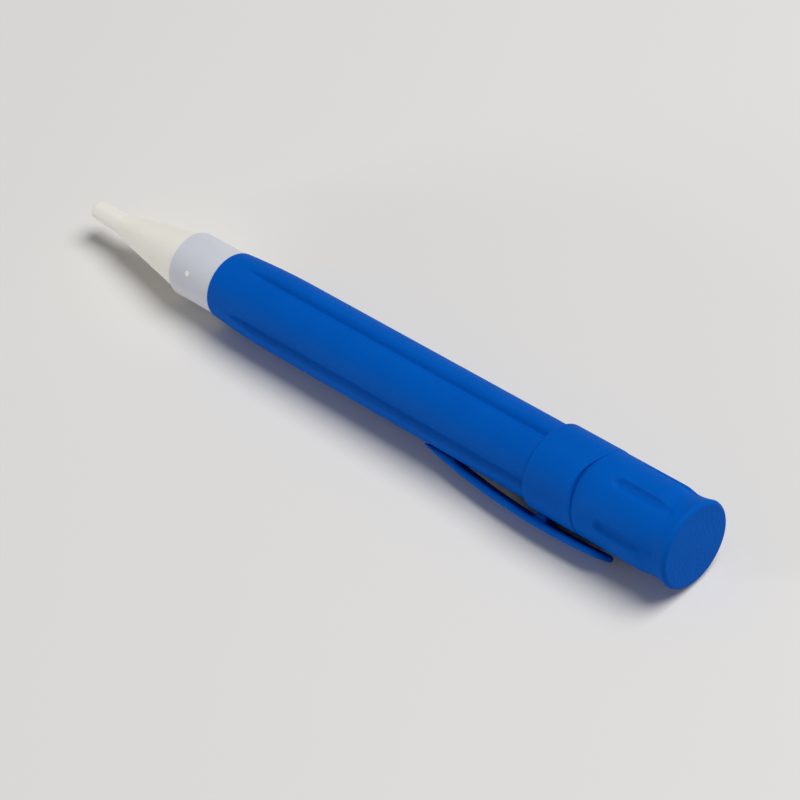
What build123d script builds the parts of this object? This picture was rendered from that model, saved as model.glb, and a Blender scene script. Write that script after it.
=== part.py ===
from build123d import *
import os
from math import cos, radians, sin, sqrt, tau

# Pen-shaped magnetic field detector, in millimetres, as the pieces it comes apart into.
# It lies along X with the sensing tip at -X. The origin is the centre of the flat end of the cap,
# +X points out of that end and +Z is up. Angles about the axis run from +Y towards +Z.

# Lengths along the axis, from the tip to the flat end
nib_length = 9.4
cone_length = 19.8
nose_length = 11.3
ring_length = 11.9
cap_length = 20.9

# Radii seen from outside
rim_drop = 0.6
rim_taper_length = 17.0
rim_edge = 0.3
nose_step = 0.4
nose_edge = 0.2
cone_step = 0.4
cone_front_radius = 2.7
nib_base_radius = 2.3
nib_tip_radius = 1.85
nib_edge_length = 1.1
nib_edge_depth = 0.75
nib_edge_knee = 1 / 3
ring_step = 0.8
ring_edge = 0.7
cap_drop = 0.1
cap_waist_drop = 0.3
cap_waist_length = 3.0
cap_flare_length = 3.5
cap_rim_rise = 0.45
cap_rim_edge = 0.8
bend_steps = 3
corner_knee = 1 - sqrt(0.5)

# Turns about the axis: the clip rests on the table, and the flutes lie beside the two panels
clip_angle = 218.0
panel_angle = clip_angle - 90.0
strip_angle = clip_angle - 180.0
pip_angle = clip_angle - 75.0
panel_half_angle = 40.0
flute_angles = [
    panel_angle + half_turn + side
    for half_turn in (0.0, 180.0)
    for side in (-panel_half_angle, panel_half_angle)
]
cap_flute_count = 6
cap_flute_turn = 4.0
cap_flute_angles = [
    panel_angle + cap_flute_turn + (k + 0.5) * 360.0 / cap_flute_count
    for k in range(cap_flute_count)
]

# Flutes of the barrel and of the cap
flute_radius = 2.1
flute_depth = 0.55
cap_flute_radius = 1.6
cap_flute_depth = 0.7
cap_flute_setback = 4.6
cap_flute_end = 2.2

# Parting line between ring and cap, with a thumb scoop in each tongue of the cap
tongue_length = 1.4
tongue_half_width = 6.3
tongue_gap = 0.08
scoop_depth = 0.75
scoop_half_angle = 60.0
scoop_length = 4.4
scoop_middle_share = 2 / 3

# Cells (size AAA) and the room around them
cell_radius = 5.25
cell_length = 44.5
cell_nub_radius = 1.9
cell_nub_height = 0.9
cell_clearance = 0.2
cell_air = 0.05

# Walls and fits
barrel_wall = 2.15
panel_wall = 1.2
rib_width = 2.4
rim_wall = 1.2
press_clearance = 0.03
slide_clearance = 0.06
neck_step = 0.7
neck_edge = 0.3
ring_overlap = 4.0
key_setback = 1.5
key_width = 1.6
key_clearance = 0.1
cap_end_wall = 2.4

# Seal on the neck
seal_setback = 5.5
seal_groove_depth = 0.55
seal_groove_width = 0.9
seal_width = 0.8
seal_height = 0.56
seal_air = 0.02

# Nose sleeve and sensing tip
nose_wall = 1.34
nose_spigot_length = 8.0
nose_spigot_wall = 0.87
cone_spigot_wall = 0.9
cone_spigot_length = 6.8
nib_bore = 1.35
nib_bore_length = 4.0
middle_bore = 2.8
cone_wall = 1.0
pip_radius = 0.6
pip_setback = 5.0
pip_sink = 0.02

# Pocket clip
clip_width = 6.0
clip_tip_width = 3.8
clip_stem_height = 0.95
clip_thickness = 1.3
clip_front_reach = 30.2
clip_rear_reach = 15.3
clip_tip_thickness = 0.14
clip_tip_air = 0.1
clip_tip_flat = 8.0
clip_rear_thickness = 1.15
clip_rear_gap = 0.43
clip_tip_round = 1.6
clip_rear_round = 2.9
stem_setback = 3.8
stem_length = 2.0
stem_width = 4.0
stem_air = 0.08

# Circuit board, measured in its own plane: along the axis, across it and square to it
board_thickness = 0.8
board_clearance = 0.3
board_front_clearance = 0.5
tongue_clearance = 0.25
tongue_reach = 3.0
board_front_setback = 1.3
board_step_clearance = 0.7
carrier_clearance = 0.05
carrier_length = 7.15
carrier_wall = 2.2
carrier_rail_grip = 1.2
board_slot_clearance = 0.05

# Parts on the board
sensor_size = (1.6, 1.5, 0.5)
sensor_setback = 0.3
lamp_radius = 1.5
lamp_length = 4.6
lamp_bevel = 0.6
lamp_lift = 0.05
lamp_overhang = 2.4
lamp_lead_width = 0.4
lamp_lead_spacing = 1.6
lamp_lead_reach = 1.4
chip_size = (4.9, 3.9, 1.4)
chip_stand_off = 0.1
chip_setback = 4.6
chip_bevel = 0.2
leg_pitch = 1.27
leg_count = 4
leg_width = 0.42
leg_thickness = 0.2
leg_reach = 1.05
leg_height = 0.8
transistor_size = (1.3, 2.9, 0.95)
transistor_setback = 9.6
transistor_leg = (0.6, 0.45, 0.15)
transistor_leg_pitch = 0.95
resistor_size = (1.25, 2.0, 0.5)
resistor_spacing = (1.9, 5.2)
capacitor_size = (1.3, 2.0, 1.1)
capacitor_setback = 6.0
capacitor_spacing = 4.5

# Contacts and spring
contact_thickness = 0.4
front_contact_inset = 0.85
front_tab_width = 2.0
front_tab_thickness = 0.3
front_tab_overlap = 1.6
tab_clearance = 0.12
strip_width = 3.0
strip_thickness = 0.2
strip_cell_gap = 0.2
strip_slot_clearance = 0.1
strip_fold_inset = 0.4
strip_fold_air = 0.1
strip_tail_length = 1.4
strip_tail_setback = 1.6
strip_tail_overlap = 0.8
rear_contact_inset = 0.25
spring_height = 9.0
spring_wire = 0.6
spring_wire_sides = 6
spring_inset = 0.95
spring_top_radius = 2.7
spring_half_turns = 6
spring_air = 0.02
spring_least_gap = 0.4
spring_gap_samples = 16

# Stations along the axis
cap_front_x = -cap_length
ring_front_x = cap_front_x - ring_length
neck_start_x = ring_front_x + ring_overlap
cap_floor_x = -cap_end_wall
rear_contact_x = cap_floor_x - contact_thickness
neck_end_x = rear_contact_x - strip_fold_air - strip_thickness
rear_cell_end_x = rear_contact_x - spring_height
front_cell_end_x = rear_cell_end_x - cell_length
nub_tip_x = front_cell_end_x - cell_length
front_contact_x = nub_tip_x - cell_air
carrier_rear_x = front_contact_x - contact_thickness
carrier_wall_x = carrier_rear_x - carrier_wall
nose_spigot_x = carrier_rear_x - carrier_length
barrel_front_x = nose_spigot_x - nose_spigot_length
taper_start_x = barrel_front_x + rim_taper_length
nose_front_x = barrel_front_x - nose_length
cone_spigot_x = nose_front_x + cone_spigot_length
nib_base_x = nose_front_x - cone_length
tip_x = nib_base_x - nib_length
nib_bore_x = nib_base_x - nib_bore_length
stem_x = ring_front_x + stem_setback

# Radii that follow from the ones above
bore_radius = cell_radius + cell_clearance
barrel_radius = bore_radius + barrel_wall
rim_radius = barrel_radius - rim_drop
rim_bore = rim_radius - rim_wall
nose_radius = rim_radius - nose_step
nose_spigot_radius = rim_bore - press_clearance
nose_spigot_bore = nose_spigot_radius - nose_spigot_wall
cone_rear_radius = nose_radius - cone_step
cone_spigot_radius = nose_radius - nose_wall - slide_clearance
cone_spigot_bore = cone_spigot_radius - cone_spigot_wall
cone_slope = (cone_rear_radius - cone_front_radius) / cone_length
middle_bore_x = nib_base_x + (middle_bore + cone_wall - cone_front_radius) / cone_slope
lamp_bore_x = nib_base_x + (cone_spigot_bore + cone_wall - cone_front_radius) / cone_slope
ring_radius = barrel_radius + ring_step
cap_radius = ring_radius - cap_drop
waist_radius = cap_radius - cap_waist_drop
flange_radius = waist_radius + cap_rim_rise
neck_radius = barrel_radius - neck_step
cap_bore = neck_radius + slide_clearance
lobe_radius = barrel_radius - panel_wall
carrier_radius = bore_radius - carrier_clearance
pip_root = (cone_spigot_radius + cone_spigot_bore) / 2
strip_inner = cell_radius + strip_cell_gap
strip_outer = strip_inner + strip_thickness
strip_fold = neck_radius - strip_fold_inset - strip_inner
flute_floor = barrel_radius - flute_depth
key_root = flute_floor + flute_radius - sqrt(flute_radius**2 - key_width**2 / 4) + key_clearance
clip_under = ring_radius + clip_stem_height
clip_crest = clip_under + clip_thickness
board_top = board_thickness / 2
board_width = 2 * (nose_spigot_bore - board_clearance)
board_front_width = 2 * (cone_spigot_bore - board_front_clearance)
tongue_width = 2 * (nib_bore - tongue_clearance)
carrier_rail_inner = board_width / 2 - carrier_rail_grip
front_contact_radius = bore_radius - front_contact_inset
spring_base_radius = bore_radius - spring_inset
far_out = 2 * barrel_radius


def radial_plane(angle):
    """Plane through the axis: local x along the axis, local y outward at the angle."""
    turn = radians(angle)
    return Plane(origin=(0, 0, 0), x_dir=(1, 0, 0), z_dir=(0, -sin(turn), cos(turn)))


def tangent_plane(angle, radius):
    """Plane square to a radius of the axis: local x along the axis, local z outward."""
    turn = radians(angle)
    outward = (0, cos(turn), sin(turn))
    return Plane(origin=(0, radius * outward[1], radius * outward[2]), x_dir=(1, 0, 0), z_dir=outward)


def soft_corner(x, radius, size, way):
    """Points of a corner eased by two flats, from the end face at x to the outside at the radius."""
    return (
        (x, radius - size),
        (x + way * size * corner_knee, radius - size * corner_knee),
        (x + way * size, radius),
    )


def soft_bend(start, end):
    """Points of a curve that leaves start along the axis and bends away by the square to end."""
    return [
        (
            start[0] + (end[0] - start[0]) * k / bend_steps,
            start[1] + (end[1] - start[1]) * (k / bend_steps) ** 2,
        )
        for k in range(bend_steps + 1)
    ]


def board_plane(height):
    """Plane along the board at a height over its middle: local y points at the return strip."""
    return tangent_plane(panel_angle, height)


os.makedirs("parts", exist_ok=True)

# Sensing tip: a nib on a hollow cone, with a spigot that two pips lock in the nose sleeve
with BuildPart() as tip_cone:
    nib_outline = (
        (tip_x, nib_tip_radius - nib_edge_depth),
        (tip_x + nib_edge_length * nib_edge_knee, nib_tip_radius - nib_edge_depth * nib_edge_knee),
        (tip_x + nib_edge_length, nib_tip_radius),
        (nib_base_x, nib_base_radius),
    )
    cone_outline = ((nib_base_x, cone_front_radius), (nose_front_x, cone_rear_radius))
    for outline in (nib_outline, cone_outline):
        for x, radius in outline:
            with BuildSketch(Plane.YZ.offset(x)):
                Circle(radius)
        loft(ruled=True)
    with BuildSketch(Plane.YZ.offset(nose_front_x)):
        Circle(cone_spigot_radius)
    extrude(amount=cone_spigot_length)
    tip_bores = (
        (nib_bore_x, nib_bore),
        (middle_bore_x, middle_bore),
        (lamp_bore_x, cone_spigot_bore),
    )
    for x, radius in tip_bores:
        with BuildSketch(Plane.YZ.offset(x)):
            Circle(radius)
        extrude(amount=cone_spigot_x - x, mode=Mode.SUBTRACT)
    for angle in (pip_angle, pip_angle + 180.0):
        with BuildSketch(tangent_plane(angle, pip_root)):
            with Locations((nose_front_x + pip_setback, 0)):
                Circle(pip_radius)
        extrude(amount=nose_radius - pip_sink - pip_root)
tip_cone.part.label = "tip_cone"
export_step(tip_cone.part, "parts/tip_cone.step")

# Nose sleeve: shows as a white band and plugs into the barrel
with BuildPart() as nose_sleeve:
    with BuildSketch(Plane.XY):
        with BuildLine():
            Polyline(
                (nose_front_x, cone_spigot_radius + slide_clearance),
                (nose_front_x, nose_radius),
                (barrel_front_x, nose_radius),
                (barrel_front_x, nose_spigot_radius),
                (nose_spigot_x, nose_spigot_radius),
                (nose_spigot_x, nose_spigot_bore),
                (cone_spigot_x, nose_spigot_bore),
                (cone_spigot_x, cone_spigot_radius + slide_clearance),
                close=True,
            )
        make_face()
    revolve(axis=Axis.X)
    front_edges = nose_sleeve.edges().filter_by(GeomType.CIRCLE).group_by(Axis.X)[0]
    chamfer(front_edges.sort_by(SortBy.RADIUS)[-1], nose_edge)
    for angle in (pip_angle, pip_angle + 180.0):
        with BuildSketch(tangent_plane(angle, nose_spigot_bore)):
            with Locations((nose_front_x + pip_setback, 0)):
                Circle(pip_radius + press_clearance)
        extrude(amount=nose_radius, mode=Mode.SUBTRACT)
nose_sleeve.part.label = "nose_sleeve"
export_step(nose_sleeve.part, "parts/nose_sleeve.step")

# Barrel: bullet-shaped front that the four round flutes run out on, a rib under each flute, and a
# neck for the cap
with BuildPart() as barrel:
    with BuildSketch(Plane.XY):
        with BuildLine():
            Polyline(
                *soft_bend((taper_start_x, barrel_radius), (barrel_front_x + rim_edge, rim_radius)),
                (barrel_front_x, rim_radius - rim_edge),
                (barrel_front_x, rim_bore),
                (nose_spigot_x + press_clearance, rim_bore),
                (nose_spigot_x + press_clearance, bore_radius),
                (neck_end_x, bore_radius),
                (neck_end_x, neck_radius),
                (neck_start_x, neck_radius),
                (neck_start_x, barrel_radius),
                close=True,
            )
        make_face()
    revolve(axis=Axis.X)
    neck_edges = barrel.edges().filter_by(GeomType.CIRCLE).group_by(Axis.X)[-1]
    chamfer(neck_edges.sort_by(SortBy.RADIUS)[-1], neck_edge)
    with BuildSketch(Plane.YZ.offset(nose_spigot_x + press_clearance)):
        Circle(lobe_radius)
        for angle in flute_angles:
            with PolarLocations(lobe_radius, 1, start_angle=angle):
                Rectangle(2 * (lobe_radius - bore_radius), rib_width, mode=Mode.SUBTRACT)
    extrude(amount=ring_front_x - nose_spigot_x, mode=Mode.SUBTRACT)
    with BuildSketch(tangent_plane(strip_angle, 0)):
        with Locations(((ring_front_x + neck_end_x) / 2, 0)):
            Rectangle(neck_end_x - ring_front_x, strip_width + 2 * strip_slot_clearance)
    extrude(amount=strip_outer + strip_slot_clearance, mode=Mode.SUBTRACT)
    with BuildSketch(Plane.YZ.offset(barrel_front_x)):
        for angle in flute_angles:
            with PolarLocations(flute_floor + flute_radius, 1, start_angle=angle):
                Circle(flute_radius)
    extrude(amount=neck_start_x - barrel_front_x, mode=Mode.SUBTRACT)
    with BuildSketch(Plane.XY):
        with Locations((cap_front_x + seal_setback, neck_radius)):
            Rectangle(seal_groove_width, 2 * seal_groove_depth)
    revolve(axis=Axis.X, mode=Mode.SUBTRACT)
barrel.part.label = "barrel"
export_step(barrel.part, "parts/barrel.step")

# Seal: a square-cut rubber ring just clear of the floor of the neck's groove
seal_inner = neck_radius - seal_groove_depth + seal_air
with BuildPart() as cap_seal:
    with BuildSketch(Plane.XY):
        with Locations((cap_front_x + seal_setback, seal_inner + seal_height / 2)):
            Rectangle(seal_width, seal_height)
    revolve(axis=Axis.X)
cap_seal.part.label = "cap_seal"
export_step(cap_seal.part, "parts/cap_seal.step")

# The curved parting line is a round tongue of the cap, seen square to the panels
tongue_radius = (tongue_half_width**2 + tongue_length**2) / (2 * tongue_length)
tongue_centre_x = cap_front_x - tongue_length + tongue_radius

# Clip ring: slides over the neck, up to the barrel's shoulder, with a key in each flute
with BuildPart() as clip_ring:
    with BuildSketch(Plane.XY):
        with BuildLine():
            Polyline(
                (ring_front_x, barrel_radius + press_clearance),
                *soft_corner(ring_front_x, ring_radius, ring_edge, 1),
                (cap_front_x, ring_radius),
                (cap_front_x, neck_radius + press_clearance),
                (neck_start_x, neck_radius + press_clearance),
                (neck_start_x, barrel_radius + press_clearance),
                close=True,
            )
        make_face()
    revolve(axis=Axis.X)
    with BuildSketch(tangent_plane(panel_angle, 0)):
        with Locations((tongue_centre_x, 0)):
            Circle(tongue_radius + tongue_gap)
    extrude(amount=far_out, both=True, mode=Mode.SUBTRACT)
    for angle in flute_angles:
        with BuildSketch(tangent_plane(angle, key_root)):
            with Locations(((ring_front_x + key_setback + neck_start_x) / 2, 0)):
                Rectangle(neck_start_x - ring_front_x - key_setback, key_width)
        extrude(amount=barrel_radius + ring_step / 2 - key_root)
clip_ring.part.label = "clip_ring"
export_step(clip_ring.part, "parts/clip_ring.step")

# Pocket clip: a bowed leaf on a stem, with a long flat tip that lies on the barrel
clip_tip_x = stem_x - clip_front_reach
clip_rear_x = stem_x + clip_rear_reach
clip_seat = barrel_radius + clip_tip_air
clip_rear_top = ring_radius + clip_rear_gap + clip_rear_thickness
with BuildPart() as pocket_clip:
    with BuildSketch(radial_plane(clip_angle)):
        with BuildLine():
            TangentArc((stem_x, clip_crest), (clip_tip_x, clip_seat + clip_tip_thickness), tangent=(-1, 0))
            TangentArc((stem_x, clip_crest), (clip_rear_x, clip_rear_top), tangent=(1, 0))
            Line((clip_rear_x, clip_rear_top), (clip_rear_x, clip_rear_top - clip_rear_thickness))
            TangentArc(
                (stem_x, clip_under),
                (clip_rear_x, clip_rear_top - clip_rear_thickness),
                tangent=(1, 0),
            )
            TangentArc((stem_x, clip_under), (clip_tip_x + clip_tip_flat, clip_seat), tangent=(-1, 0))
            Polyline(
                (clip_tip_x + clip_tip_flat, clip_seat),
                (clip_tip_x + clip_tip_flat, neck_radius),
                (clip_tip_x, neck_radius),
                (clip_tip_x, clip_seat + clip_tip_thickness),
            )
        make_face()
    extrude(amount=clip_width, both=True)
    with BuildSketch(tangent_plane(clip_angle, 0)):
        with BuildLine():
            Polyline(
                (clip_tip_x, 0),
                (clip_tip_x, clip_tip_width / 2),
                (stem_x, clip_width / 2),
                (clip_rear_x, clip_width / 2),
                (clip_rear_x, 0),
            )
            mirror(about=Plane.XZ)
        make_face()
        fillet(vertices().group_by(Axis.X)[0], clip_tip_round)
        fillet(vertices().group_by(Axis.X)[-1], clip_rear_round)
    extrude(amount=far_out, mode=Mode.INTERSECT)
    with BuildSketch(tangent_plane(clip_angle, neck_radius)):
        with Locations((stem_x, 0)):
            Rectangle(stem_length, stem_width)
    extrude(amount=clip_crest - neck_radius - clip_thickness / 2)
    with BuildSketch(Plane.XY):
        with BuildLine():
            Polyline(
                (barrel_front_x, 0),
                (barrel_front_x, clip_seat),
                (ring_front_x, clip_seat),
                (ring_front_x, ring_radius + stem_air),
                (cap_front_x, ring_radius + stem_air),
                (cap_front_x, 0),
                close=True,
            )
        make_face()
    revolve(axis=Axis.X, mode=Mode.SUBTRACT)
pocket_clip.part.label = "pocket_clip"
export_step(pocket_clip.part, "parts/pocket_clip.step")

# End cap: a fluted cup over the neck, with a waist behind its flared flat end
cap_start_x = cap_front_x - tongue_length
waist_x = -cap_rim_edge - cap_flare_length
cap_flute_front_x = cap_front_x + cap_flute_setback
cap_flute_floor = cap_radius - cap_flute_depth
scoop_offset = scoop_depth / (1 - cos(radians(scoop_half_angle)))
with BuildPart() as end_cap:
    with BuildSketch(Plane.XY):
        with BuildLine():
            Polyline(
                (cap_floor_x, 0),
                (cap_floor_x, cap_bore),
                (cap_start_x, cap_bore),
                (cap_start_x, cap_radius),
                (waist_x - cap_waist_length, cap_radius),
                *soft_bend((waist_x, waist_radius), (-cap_rim_edge, flange_radius))[:-1],
                *reversed(soft_corner(0, flange_radius, cap_rim_edge, -1)),
                (0, 0),
                close=True,
            )
        make_face()
    revolve(axis=Axis.X)
    for angle in cap_flute_angles:
        flute_plane = radial_plane(angle)
        flute_axis_radius = cap_flute_floor + cap_flute_radius
        with BuildSketch(flute_plane):
            with BuildLine():
                Polyline(
                    (cap_flute_front_x, flute_axis_radius),
                    (cap_flute_front_x + cap_flute_radius, cap_flute_floor),
                    (-cap_flute_end - cap_flute_radius, cap_flute_floor),
                    (-cap_flute_end, flute_axis_radius),
                    close=True,
                )
            make_face()
        flute_origin = flute_plane.from_local_coords((0, flute_axis_radius, 0))
        revolve(axis=Axis(flute_origin, (1, 0, 0)), mode=Mode.SUBTRACT)
    for angle in (panel_angle, panel_angle + 180.0):
        scoop_plane = radial_plane(angle)
        scoop_origin = scoop_plane.from_local_coords((0, -scoop_offset, 0))
        with BuildSketch(scoop_plane):
            with BuildLine():
                Polyline(
                    (cap_start_x, cap_radius - scoop_depth),
                    (cap_start_x + scoop_length / 2, cap_radius - scoop_depth * scoop_middle_share),
                    (cap_start_x + scoop_length, cap_radius),
                    (cap_start_x + scoop_length, far_out),
                    (cap_start_x, far_out),
                    close=True,
                )
            make_face()
        revolve(axis=Axis(scoop_origin, (1, 0, 0)), mode=Mode.SUBTRACT)
    with BuildSketch(tangent_plane(panel_angle, 0)):
        with Locations((cap_front_x - tongue_length / 2, 0)):
            Rectangle(tongue_length, 2 * far_out)
        with Locations((tongue_centre_x, 0)):
            Circle(tongue_radius, mode=Mode.SUBTRACT)
    extrude(amount=far_out, both=True, mode=Mode.SUBTRACT)
end_cap.part.label = "end_cap"
export_step(end_cap.part, "parts/end_cap.step")


def cell_outline(rear_x):
    """Corners of half a section of a cell, its flat end at rear_x and its nub towards the tip."""
    front_x = rear_x - cell_length
    shoulder_x = front_x + cell_nub_height
    return (
        (front_x, 0),
        (front_x, cell_nub_radius),
        (shoulder_x, cell_nub_radius),
        (shoulder_x, cell_radius),
        (rear_x, cell_radius),
        (rear_x, 0),
    )


# Two cells in line, with the flat ends towards the cap and a little air at each nub
with BuildPart() as rear_cell:
    with BuildSketch(Plane.XY):
        with BuildLine():
            Polyline(*cell_outline(rear_cell_end_x), close=True)
        make_face()
    revolve(axis=Axis.X)
    with BuildSketch(Plane.YZ.offset(rear_cell_end_x - cell_length)):
        Circle(cell_nub_radius)
    extrude(amount=cell_air, mode=Mode.SUBTRACT)
rear_cell.part.label = "rear_cell"
export_step(rear_cell.part, "parts/rear_cell.step")

with BuildPart() as front_cell:
    with BuildSketch(Plane.XY):
        with BuildLine():
            Polyline(*cell_outline(front_cell_end_x), close=True)
        make_face()
    revolve(axis=Axis.X)
front_cell.part.label = "front_cell"
export_step(front_cell.part, "parts/front_cell.step")

# Circuit board: stepped, with a narrow tongue that carries the sensor into the nib
board_front_x = nose_front_x - board_front_setback
board_step_x = cone_spigot_x + board_step_clearance
tongue_tip_x = nib_base_x - tongue_reach
with BuildPart() as circuit_board:
    with BuildSketch(board_plane(-board_top)):
        with BuildLine():
            Polyline(
                (tongue_tip_x, 0),
                (tongue_tip_x, tongue_width / 2),
                (board_front_x, tongue_width / 2),
                (board_front_x, board_front_width / 2),
                (board_step_x, board_front_width / 2),
                (board_step_x, board_width / 2),
                (carrier_wall_x, board_width / 2),
                (carrier_wall_x, 0),
            )
            mirror(about=Plane.XZ)
        make_face()
    extrude(amount=board_thickness)
circuit_board.part.label = "circuit_board"
export_step(circuit_board.part, "parts/circuit_board.step")

# Field sensor: a small flat package on the tongue, inside the nib
with BuildPart() as field_sensor:
    with BuildSketch(board_plane(board_top)):
        with Locations((tongue_tip_x + sensor_setback + sensor_size[0] / 2, 0)):
            Rectangle(sensor_size[0], sensor_size[1])
    extrude(amount=sensor_size[2])
field_sensor.part.label = "field_sensor"
export_step(field_sensor.part, "parts/field_sensor.step")

# Indicator lamp: a bevelled cylinder on the board's front edge, aimed at the tip, with two bent leads
lamp_axis_height = board_top + lamp_lift + lamp_radius
lamp_rear_x = board_front_x - lamp_overhang + lamp_length
lamp_front_x = lamp_rear_x - lamp_length
lamp_plane = board_plane(lamp_axis_height)
with BuildPart() as indicator_lamp:
    with BuildSketch(lamp_plane):
        with BuildLine():
            Polyline(
                (lamp_front_x, 0),
                (lamp_rear_x, 0),
                (lamp_rear_x, lamp_radius),
                (lamp_front_x + lamp_bevel, lamp_radius),
                (lamp_front_x, lamp_radius - lamp_bevel),
                close=True,
            )
        make_face()
    revolve(axis=Axis(lamp_plane.origin, (1, 0, 0)))
indicator_lamp.part.label = "indicator_lamp"
export_step(indicator_lamp.part, "parts/indicator_lamp.step")

lead_side = lamp_lead_width / 2
with BuildPart() as lamp_leads:
    for side in (-lamp_lead_spacing / 2, lamp_lead_spacing / 2):
        lead_plane = Plane(
            origin=board_plane(0).from_local_coords((0, side, 0)),
            x_dir=(1, 0, 0),
            z_dir=-board_plane(0).y_dir,
        )
        with BuildSketch(lead_plane):
            with BuildLine():
                Polyline(
                    (lamp_rear_x, lamp_axis_height + lead_side),
                    (lamp_rear_x + lamp_lead_reach + lead_side, lamp_axis_height + lead_side),
                    (lamp_rear_x + lamp_lead_reach + lead_side, board_top),
                    (lamp_rear_x + lamp_lead_reach - lead_side, board_top),
                    (lamp_rear_x + lamp_lead_reach - lead_side, lamp_axis_height - lead_side),
                    (lamp_rear_x, lamp_axis_height - lead_side),
                    close=True,
                )
            make_face()
        extrude(amount=lead_side, both=True)
lamp_leads.part.label = "lamp_leads"
export_step(lamp_leads.part, "parts/lamp_leads.step")

# Detector chip with two rows of bent legs
chip_x = board_step_x + chip_setback
chip_bottom = board_top + chip_stand_off
with BuildPart() as detector_chip:
    with BuildSketch(board_plane(chip_bottom)):
        with Locations((chip_x, 0)):
            Rectangle(chip_size[0], chip_size[1])
    extrude(amount=chip_size[2])
    board_normal = Axis(board_plane(0).origin, board_plane(0).z_dir)
    chamfer(detector_chip.faces().sort_by(board_normal)[-1].edges(), chip_bevel)
detector_chip.part.label = "detector_chip"
export_step(detector_chip.part, "parts/detector_chip.step")

leg_root = chip_size[1] / 2
leg_knee = leg_root + leg_reach / 2
leg_top = board_top + leg_height
with BuildPart() as chip_legs:
    for k in range(leg_count):
        leg_x = chip_x + (k - (leg_count - 1) / 2) * leg_pitch
        leg_plane = Plane(
            origin=board_plane(0).from_local_coords((leg_x, 0, 0)),
            x_dir=board_plane(0).y_dir,
            z_dir=(-1, 0, 0),
        )
        with BuildSketch(leg_plane):
            with BuildLine():
                Polyline(
                    (leg_root, leg_top),
                    (leg_knee, leg_top),
                    (leg_knee, board_top + leg_thickness),
                    (leg_root + leg_reach, board_top + leg_thickness),
                    (leg_root + leg_reach, board_top),
                    (leg_knee - leg_thickness, board_top),
                    (leg_knee - leg_thickness, leg_top - leg_thickness),
                    (leg_root, leg_top - leg_thickness),
                    close=True,
                )
            make_face()
            mirror(about=Plane.YZ)
        extrude(amount=leg_width / 2, both=True)
chip_legs.part.label = "chip_legs"
export_step(chip_legs.part, "parts/chip_legs.step")

# Lamp transistor: a small body with three flat feet
transistor_x = board_step_x + transistor_setback
with BuildPart() as lamp_transistor:
    with BuildSketch(board_plane(board_top)):
        with Locations((transistor_x, 0)):
            Rectangle(transistor_size[0], transistor_size[1])
    extrude(amount=transistor_size[2])
    with BuildSketch(board_plane(board_top)):
        foot_x = transistor_size[0] / 2
        with Locations(
            (transistor_x - foot_x, transistor_leg_pitch),
            (transistor_x - foot_x, -transistor_leg_pitch),
            (transistor_x + foot_x, 0),
        ):
            Rectangle(2 * transistor_leg[0], transistor_leg[1])
    extrude(amount=transistor_leg[2])
lamp_transistor.part.label = "lamp_transistor"
export_step(lamp_transistor.part, "parts/lamp_transistor.step")

# Chip resistors in a two by two group on the top, capacitors in a row underneath
resistor_x = board_step_x - board_step_clearance - resistor_spacing[0]
with BuildPart() as chip_resistors:
    with BuildSketch(board_plane(board_top)):
        with Locations((resistor_x, 0)):
            with GridLocations(resistor_spacing[0], resistor_spacing[1], 2, 2):
                Rectangle(resistor_size[0], resistor_size[1])
    extrude(amount=resistor_size[2])
chip_resistors.part.label = "chip_resistors"
export_step(chip_resistors.part, "parts/chip_resistors.step")

with BuildPart() as chip_capacitors:
    with BuildSketch(board_plane(-board_top)):
        with Locations((board_step_x + capacitor_setback, 0)):
            with GridLocations(capacitor_spacing, 0, 2, 1):
                Rectangle(capacitor_size[0], capacitor_size[1])
    extrude(amount=-capacitor_size[2])
chip_capacitors.part.label = "chip_capacitors"
export_step(chip_capacitors.part, "parts/chip_capacitors.step")

# Board carrier: a plug with two slotted rails in front of a wall that the front contact lies on
strip_tail_x = nose_spigot_x + strip_tail_setback
with BuildPart() as board_carrier:
    with BuildSketch(Plane.YZ.offset(nose_spigot_x)):
        Circle(carrier_radius)
    extrude(amount=carrier_rear_x - nose_spigot_x)
    with BuildSketch(board_plane(0)):
        with Locations(((nose_spigot_x + carrier_wall_x) / 2, 0)):
            Rectangle(carrier_wall_x - nose_spigot_x, 2 * carrier_rail_inner)
    extrude(amount=far_out, both=True, mode=Mode.SUBTRACT)
    with BuildSketch(board_plane(0)):
        with Locations(((nose_spigot_x + carrier_wall_x) / 2, 0)):
            Rectangle(carrier_wall_x - nose_spigot_x, board_width + 2 * board_slot_clearance)
    extrude(amount=board_top + board_slot_clearance, both=True, mode=Mode.SUBTRACT)
    with BuildSketch(board_plane(-board_top + tab_clearance)):
        with Locations(((carrier_wall_x + carrier_rear_x) / 2, 0)):
            Rectangle(carrier_wall, front_tab_width + 2 * tab_clearance)
    extrude(amount=-front_tab_thickness - 2 * tab_clearance, mode=Mode.SUBTRACT)
    with BuildSketch(board_plane(board_top)):
        with Locations((strip_tail_x + strip_tail_length / 2, strip_outer)):
            Rectangle(strip_tail_length + 2 * tab_clearance, 2 * (strip_outer - carrier_rail_inner))
    extrude(amount=strip_thickness + tab_clearance, mode=Mode.SUBTRACT)
board_carrier.part.label = "board_carrier"
export_step(board_carrier.part, "parts/board_carrier.step")

# Front contact: a stamped disc with a tab that reaches the underside of the board
with BuildPart() as front_contact:
    with BuildSketch(Plane.YZ.offset(carrier_rear_x)):
        Circle(front_contact_radius)
    extrude(amount=contact_thickness)
    with BuildSketch(board_plane(-board_top)):
        tab_front_x = carrier_wall_x - front_tab_overlap
        with Locations(((tab_front_x + front_contact_x) / 2, 0)):
            Rectangle(front_contact_x - tab_front_x, front_tab_width)
    extrude(amount=-front_tab_thickness)
front_contact.part.label = "front_contact"
export_step(front_contact.part, "parts/front_contact.step")

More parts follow.
